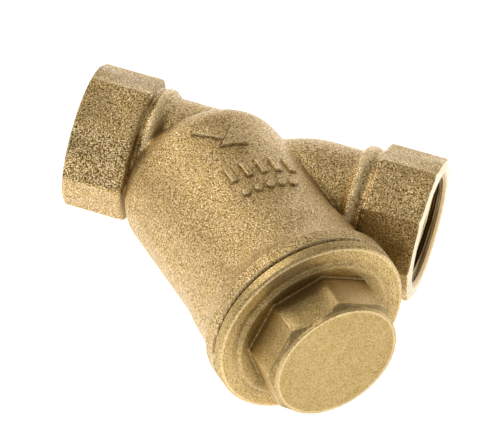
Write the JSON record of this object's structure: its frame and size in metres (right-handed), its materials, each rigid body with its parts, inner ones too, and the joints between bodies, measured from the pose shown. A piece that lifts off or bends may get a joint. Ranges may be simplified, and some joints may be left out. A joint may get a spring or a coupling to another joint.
{
  "type": "y strainer",
  "caption": "Brass Y strainer for a pipe line: octagonal threaded ports, angled barrel with a removable perforated screen, screwed cap with an octagonal head.",
  "frame": {"origin": "centre of the inlet port's end face, on the run axis", "axes": "+X along the run in the direction of flow, +Z square to the plane of the run and the branch; the branch leaves the run towards +X and -Y"},
  "size_m": [0.0582, 0.052, 0.031],
  "materials": {
    "forged_brass": "sand-blasted",
    "cap_brass": "sand-blasted, turned end",
    "gasket_rubber": "matt",
    "screen_steel": "perforated sheet"
  },
  "bodies": {
    "body": {"forged_body": "forged_brass"},
    "cartridge": {"screen": "screen_steel", "cap_gasket": "gasket_rubber"},
    "cap": {"cap": "cap_brass"}
  },
  "joints": [
    {"name": "cap_travel", "type": "slide", "parent": "body", "child": "cartridge", "axis": [0.7071, -0.7071, 0], "range_m": [0, 0.00825]},
    {"name": "cap_turn", "type": "hinge", "parent": "cartridge", "child": "cap", "pos_m": [0.04578, -0.02828, 0], "axis": [0.7071, -0.7071, 0], "range_deg": [0, 1980.1]}
  ],
  "couplings": [
    {"joint": "cap_turn", "follows": "cap_travel", "rad_per_m": 4188.8}
  ]
}
